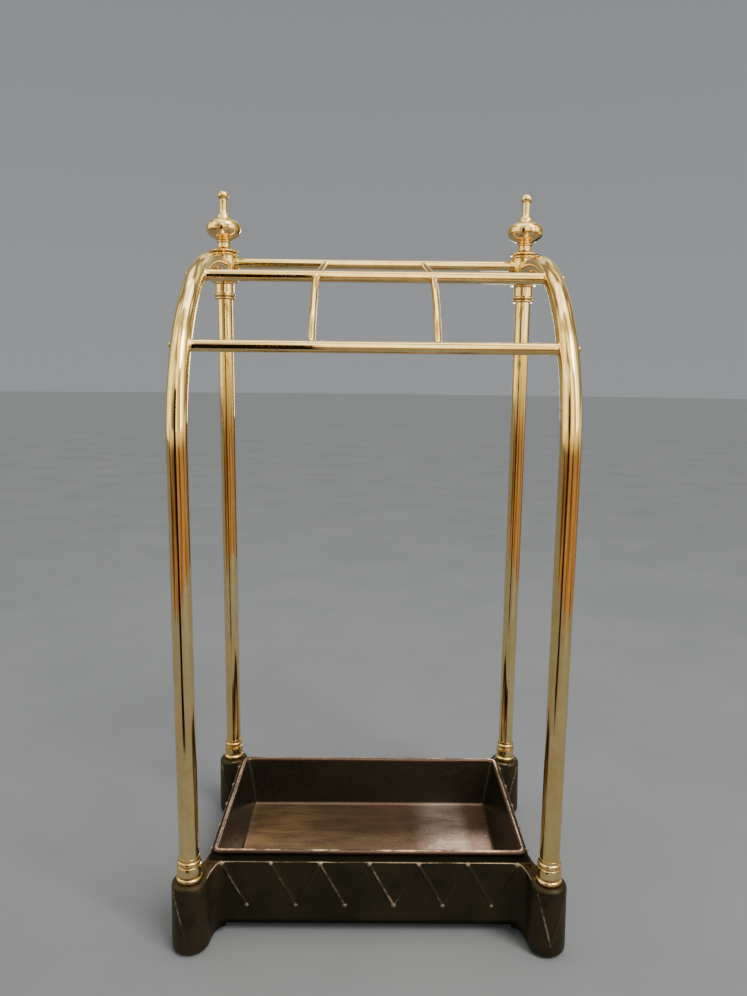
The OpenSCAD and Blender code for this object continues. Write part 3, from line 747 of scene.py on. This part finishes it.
bm.verts.ensure_lookup_table()
points = np.array([v.co[:] for v in bm.verts])
edgeLines = []
for s in (-1, 1):
    edgeLines.append(((-frontC[0], s * hy, top), (frontC[0], s * hy, top)))
    edgeLines.append(((s * hx, -sideC[1], top), (s * hx, sideC[1], top)))
wornLines = {"rib": wornLitLines, "faintRib": wornShadedLines, "edge": edgeLines, "crest": crestLines}
wearAndSheenValue = np.maximum.reduce([base["wear"][kind][0] * nearLines(points, lines, base["wear"][kind][1])
                              for kind, lines in wornLines.items()])
for p in bosses:
    wearAndSheenValue = np.maximum(wearAndSheenValue, 0.95 * np.clip(1.8 - np.linalg.norm(points - np.array(p), axis=1) / 2.2, 0, 1))
footDistance = np.hypot(np.abs(points[:, 0]) - postX, np.abs(points[:, 1]) - postY)
rustValue = np.clip(1.2 - footDistance / 34.0, 0, 1) * 0.75
rustValue = np.maximum(rustValue, np.clip((footDistance < 42) * (points[:, 2] - 78) / 6.0, 0, 1))
# painted shade on the top ledge in the tray's shadow and along the aprons' lower edge, away from the feet
ledge = (points[:, 2] > top - 2.5) & (np.abs(points[:, 0]) < hx - 1.2) & (np.abs(points[:, 1]) < hy - 1.2)
under = np.clip((21.0 - points[:, 2]) / 4.0, 0, 1) * np.clip((footDistance - 26.0) / 8.0, 0, 1)
paintedShadeValue = np.maximum(ledge * 1.0, under * 0.95)
wearAndSheenLayer, rustLayer, paintedShadeLayer = layer(bm, "rub"), layer(bm, "rust"), layer(bm, "soot")
for v, rub, rust, soot in zip(bm.verts, wearAndSheenValue, rustValue, paintedShadeValue):
    v[wearAndSheenLayer] = float(rub)
    v[rustLayer] = float(rust)
    v[paintedShadeLayer] = float(soot)
    v.co.z = max(0.0, v.co.z + 0.25 * noise.noise(v.co * 0.045) * min(1.0, v.co.z / 10.0))
finishPiece("castBase", bm, japannedIron, ["base_casting"], sharp=180)
print("base done")

# drip tray: sheet pan with a rolled rim
tray = {
    "rimX": 178.5, "rimY": 107.0, "rimZ": 95.4, "rimR": 3.0, "corner": 7.0, "floorZ": 36.0, "lean": 13.3,
    "sheet": 1.2, "wallIn": 1.5, "foldR": 4.0, "centreInset": 102.0, "shine": 0.86,
}


def roundedLoop(bm, halfX, halfY, corner, z, perCorner=8, alongX=40, alongY=24):
    pts = []
    c = max(0.5, corner)
    for qx, qy, a0 in ((1, 1, 0), (-1, 1, 90), (-1, -1, 180), (1, -1, 270)):
        cx, cy = qx * (halfX - c), qy * (halfY - c)
        for i in range(perCorner + 1):
            a = math.radians(a0 + 90 * i / perCorner)
            pts.append((cx + c * math.cos(a), cy + c * math.sin(a)))
        nextQ = {(1, 1): (-1, 1), (-1, 1): (-1, -1), (-1, -1): (1, -1), (1, -1): (1, 1)}[(qx, qy)]
        n = alongX if qx != nextQ[0] else alongY
        a = math.radians(a0 + 90)
        end = (nextQ[0] * (halfX - c) + c * math.cos(a), nextQ[1] * (halfY - c) + c * math.sin(a))
        last = pts[-1]
        for i in range(1, n):
            pts.append((last[0] + (end[0] - last[0]) * i / n, last[1] + (end[1] - last[1]) * i / n))
    return [bm.verts.new((x, y, z + 0.35 * noise.noise((x * 0.012, y * 0.012, z * 0.02)))) for x, y in pts]


bm = bmesh.new()
for name in ("floor", "rub", "bead"):            # all made before any of them is held
    layer(bm, name)
floorLayer, wearAndSheenLayer, beadLayer = layer(bm, "floor"), layer(bm, "rub"), layer(bm, "bead")
t = tray
inner = []
wallTop, wallFoot = t["rimZ"] - 1.0, t["floorZ"] + t["foldR"]
for i in range(13):
    u = i / 12
    inset = t["wallIn"] + t["sheet"] + t["lean"] * u * 0.93
    inner.append((inset, wallTop + (wallFoot - wallTop) * u, 0.0, 0.0))
# the fold into the floor gets a little rub, a painted highlight along the foot of the wall
for a in range(15, 91, 15):
    inner.append((t["wallIn"] + t["sheet"] + t["lean"] * 0.93 + 1.05 * t["foldR"] * (1 - math.cos(math.radians(a))),
                  wallFoot - t["foldR"] * math.sin(math.radians(a)), a / 90, 0.28 if a < 75 else 0.12))
start = inner[-1][0]
for i in range(1, 15):
    inset = start + (t["centreInset"] - start) * i / 14
    inner.append((inset, t["floorZ"] - 0.35 * math.sin(math.pi * i / 28), 1.0, 0.0))
outer = []
for i in range(9):
    u = i / 8
    outer.append((t["wallIn"] + t["lean"] * u * 0.95, wallTop + (t["floorZ"] + 3 - wallTop) * u, 0.0, 0.0))
bottom = t["floorZ"] - t["sheet"]
outer += [(t["wallIn"] + t["lean"] * 0.95 + 1.2, t["floorZ"] + 0.4, 0.0, 0.2),
          (t["wallIn"] + t["lean"] + 4, bottom, 0.0, 0.0), (60.0, bottom - 0.2, 0.0, 0.0),
          (100.0, bottom - 0.3, 0.0, 0.0)]


def trayRings(profile):
    rings = []
    for inset, z, floorValue, wearAndSheenValue in profile:
        ring = roundedLoop(bm, t["rimX"] - inset, t["rimY"] - inset, t["corner"] - inset * 0.25, z)
        for v in ring:
            v[floorLayer] = floorValue
            v[wearAndSheenLayer] = wearAndSheenValue
        rings.append(ring)
    return rings


# the bead's top carries rub: worn copper with a painted highlight along the top, where the light falls
bead = []
for i in range(24):
    a = 2 * math.pi * i / 24
    bead.append((-t["rimR"] * math.cos(a), t["rimZ"] + t["rimR"] * math.sin(a), 0.0,
                 max(0.0, math.cos(a - 1.35)) ** 3 * t["shine"]))
beadRings = trayRings(bead)
for ring in beadRings:
    for v in ring:
        v[beadLayer] = 1.0
skinRings(bm, beadRings, closed=True)
pan = trayRings(outer[::-1] + inner)
skinRings(bm, pan)
finishPiece("dripTray", bm, trayMetal, ["drip_tray"], body="tray", sharp=55)
print("tray done")

# steel fixings keep their own shapes
for node in ("front_tube_plugs", "front_foot_bolts", "rear_tie_rods", "foot_nuts", "foot_washers"):
    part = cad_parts[node]
    part.data.materials.clear()
    part.data.materials.append(castBrass if node == "front_tube_plugs" else boltSteel)

# floor, light and camera
room = {
    "floorRadius": 40.0, "floorDark": (0.31, 0.32, 0.33, 1), "floorPale": (0.34, 0.35, 0.36, 1),
    "wallLow": (0.40, 0.41, 0.425, 1), "wallHigh": (0.34, 0.35, 0.365, 1), "fill": (0.50, 0.50, 0.50, 1),
    "bandTint": (1.0, 0.91, 0.60), "ceilingDark": (0.45, 0.38, 0.27, 1), "ceilingLamps": (4.4, 4.0, 2.7, 1),
    "cardTop": (1.5, 1.25, 0.7, 1), "strength": 0.8,
}
m, tree, shader = newMaterial("pale floor")
pos = position(tree)
cloud = useGroup(tree, patches, Position=pos, Size=3.0, Sharpness=0.0)
floorColour = mixColour(tree, cloud.outputs["Mask"], room["floorDark"], room["floorPale"])
tree.links.new(floorColour, shader.inputs["Base Color"])
shader.inputs["Roughness"].default_value = 0.6
shader.inputs["Specular IOR Level"].default_value = 0.0
bm = bmesh.new()
bmesh.ops.create_circle(bm, cap_ends=True, segments=96, radius=room["floorRadius"])
mesh = bpy.data.meshes.new("floor")
bm.to_mesh(mesh)
bm.free()
floor = bpy.data.objects.new("floor", mesh)
bpy.context.scene.collection.objects.link(floor)
mesh.materials.append(m)

# a card's glow: mottled between two colours, and fading into lamp light toward its top
cardGlow, gi, go = startGroup(
    "card glow",
    [("Position", "NodeSocketVector", (0, 0, 0)), ("Dark", "NodeSocketColor", (0, 0, 0, 1)),
     ("Pale", "NodeSocketColor", (0, 0, 0, 1)), ("Top", "NodeSocketColor", (1, 1, 1, 1)),
     ("FadeLow", "NodeSocketFloat", 9.0), ("FadeHigh", "NodeSocketFloat", 10.0)],
    [("Colour", "NodeSocketColor")])
mottle = addNode(cardGlow, "ShaderNodeTexNoise", {"Vector": gi.outputs["Position"], "Scale": 2.3,
                                                  "Detail": 2.0}).outputs[0]
shade = mixColour(cardGlow, remap(cardGlow, mottle, 0.35, 0.65), gi.outputs["Dark"], gi.outputs["Pale"])
upright = addNode(cardGlow, "ShaderNodeSeparateXYZ", {0: gi.outputs["Position"]}).outputs[2]
uneven = calc(cardGlow, "MULTIPLY_ADD", mottle, 0.22, upright)
faded = remap(cardGlow, uneven, gi.outputs["FadeLow"], gi.outputs["FadeHigh"])
cardGlow.links.new(mixColour(cardGlow, faded, shade, gi.outputs["Top"]), go.inputs["Colour"])


# cards that only show as reflections in the polished metal: a dark flag in front, a warm low counter round it
def card(name, corners, colour, fade=(9.0, 10.0)):
    m = bpy.data.materials.new(name)
    m.use_nodes = True
    tree = m.node_tree
    tree.nodes.clear()
    out = tree.nodes.new("ShaderNodeOutputMaterial")
    glow = tree.nodes.new("ShaderNodeEmission")
    shade = useGroup(tree, cardGlow, Position=position(tree), Dark=tuple(c * 0.3 for c in colour) + (1,),
                     Pale=tuple(c * 1.6 for c in colour) + (1,), Top=room["cardTop"], FadeLow=fade[0], FadeHigh=fade[1])
    tree.links.new(shade.outputs["Colour"], glow.inputs[0])
    tree.links.new(glow.outputs[0], out.inputs[0])
    mesh = bpy.data.meshes.new(name)
    quads = [(2 * i, 2 * i + 2, 2 * i + 3, 2 * i + 1) for i in range(len(corners) - 1)]
    mesh.from_pydata([c for pair in corners for c in pair], [], quads)
    mesh.materials.append(m)
    o = bpy.data.objects.new(name, mesh)
    bpy.context.scene.collection.objects.link(o)
    o.visible_camera = o.visible_diffuse = o.visible_shadow = False


def curvedCard(radius, height, bearings):       # bearings in degrees round from the front, positive to the right
    corners = []
    for a in bearings:
        x, y = radius * math.sin(math.radians(a)), -radius * math.cos(math.radians(a))
        corners.append(((x, y, 0.0), (x, y, height)))
    return corners


flag = [((-0.36, -0.62, 0.004), (-0.10, -0.62, 0.004)), ((-0.46, -0.98, 0.004), (-0.13, -0.98, 0.004)),
        ((-0.47, -0.99, 1.15), (-0.12, -0.99, 1.15))]
card("darkFlag", flag, (0.016, 0.009, 0.004))
card("warmCounter", curvedCard(1.5, 0.74, range(-72, 121, 8)), (0.34, 0.19, 0.085), fade=(0.52, 0.86))
card("darkBack", curvedCard(1.6, 0.9, range(132, 160, 7)), (0.03, 0.02, 0.012))

world = bpy.data.worlds.new("studio")
bpy.context.scene.world = world
world.use_nodes = True
tree = world.node_tree
sky = tree.nodes["Background"]
direction = addNode(tree, "ShaderNodeTexCoord").outputs["Generated"]
xyz = addNode(tree, "ShaderNodeSeparateXYZ", {0: direction}).outputs
bearing = calc(tree, "ARCTAN2", xyz[0], calc(tree, "MULTIPLY", xyz[1], -1.0))
bands = addNode(tree, "ShaderNodeValToRGB", {0: calc(tree, "MULTIPLY_ADD", bearing, 0.5 / math.pi, 0.5)})
ramp = bands.color_ramp
ramp.interpolation = "EASE"
# bright and dark bands round the room, from behind (0) by the left side to the front (0.5) and on round
stops = ((0.0, 0.38), (0.13, 0.5), (0.17, 0.3), (0.22, 2.4), (0.33, 3.4), (0.38, 0.8), (0.44, 0.25), (0.50, 4.2),
         (0.57, 1.5), (0.63, 0.6), (0.69, 4.6), (0.76, 0.7), (0.84, 0.25), (0.90, 0.9), (1.0, 0.38))
while len(ramp.elements) < len(stops):
    ramp.elements.new(0.5)
for e, (at, value) in zip(ramp.elements, stops):
    e.position = at
    e.color = tuple(value * c for c in room["bandTint"]) + (1,)
ceiling = addNode(tree, "ShaderNodeTexNoise", {"Vector": direction, "Scale": 2.6, "Detail": 1.0}).outputs[0]
lamps = mixColour(tree, remap(tree, ceiling, 0.44, 0.58), room["ceilingDark"], room["ceilingLamps"])
shine = mixColour(tree, calc(tree, "MULTIPLY", remap(tree, xyz[2], 0.25, 0.9), 0.7), bands.outputs[0], lamps)
path = addNode(tree, "ShaderNodeLightPath").outputs
overhead = mixColour(tree, path["Is Glossy Ray"], room["fill"], shine)
seen = path["Is Camera Ray"]
backdrop = mixColour(tree, remap(tree, xyz[2], -0.02, 0.5), room["wallLow"], room["wallHigh"])
tree.links.new(mixColour(tree, seen, overhead, backdrop), sky.inputs[0])
sky.inputs[1].default_value = room["strength"]

key = {"power": 1.5, "spread": 24, "heading": (-0.75, 0.8, -1.35), "colour": (1.0, 0.97, 0.92)}
sun = bpy.data.lights.new("key", "SUN")
sun.energy = key["power"]
sun.angle = math.radians(key["spread"])
sun.color = key["colour"]
o = bpy.data.objects.new("key", sun)
o.rotation_euler = Vector(key["heading"]).to_track_quat("-Z", "Y").to_euler()
bpy.context.scene.collection.objects.link(o)
lights = {
    "strip": {"at": (1.4, -1.2, 0.9), "aimZ": 0.4, "size": (0.35, 1.7), "power": 9, "colour": (1.0, 0.98, 0.94)},
    "top": {"at": (0.0, 0.1, 2.2), "aimZ": 0.4, "size": (1.4, 0.7), "power": 8, "colour": (1.0, 0.99, 0.97)},
    # low behind the stand, only for the streak on the tray's floor
    "gleam": {"at": (0.40, 1.22, 0.74), "aimZ": 0.0, "size": (0.20, 0.5), "power": 3, "colour": (1.0, 0.93, 0.90)},
}
for name, look in lights.items():
    lamp = bpy.data.lights.new(name, "AREA")
    lamp.shape = "RECTANGLE"
    lamp.size, lamp.size_y = look["size"]
    lamp.energy = look["power"]
    lamp.color = look["colour"]
    o = bpy.data.objects.new(name, lamp)
    o.location = look["at"]
    toward = Vector((0, 0, look["aimZ"])) - Vector(look["at"])
    o.rotation_euler = toward.to_track_quat("-Z", "Y").to_euler()
    o.visible_diffuse = name != "gleam"
    bpy.context.scene.collection.objects.link(o)

view = {"at": (-4.5, -901.6, 634.2), "yaw": 0.35, "pitch": 8.81, "roll": 0.59, "lens": 27.04}
yaw, pitch, roll = (math.radians(view[k]) for k in ("yaw", "pitch", "roll"))
ahead = Vector((math.sin(yaw) * math.cos(pitch), math.cos(yaw) * math.cos(pitch), -math.sin(pitch)))
right = Vector((math.cos(yaw), -math.sin(yaw), 0))
up = right.cross(ahead)
right, up = math.cos(roll) * right + math.sin(roll) * up, math.cos(roll) * up - math.sin(roll) * right
cam = bpy.data.cameras.new("camera")
cam.sensor_width = 36
cam.lens = view["lens"]
cam.clip_start = 0.01
camera = bpy.data.objects.new("camera", cam)
facing = Matrix((right, up, -ahead)).transposed().to_4x4()
camera.matrix_world = Matrix.Translation(Vector(view["at"]) * toMetres) @ facing
bpy.context.scene.collection.objects.link(camera)
bpy.context.scene.camera = camera

print("scene ready")
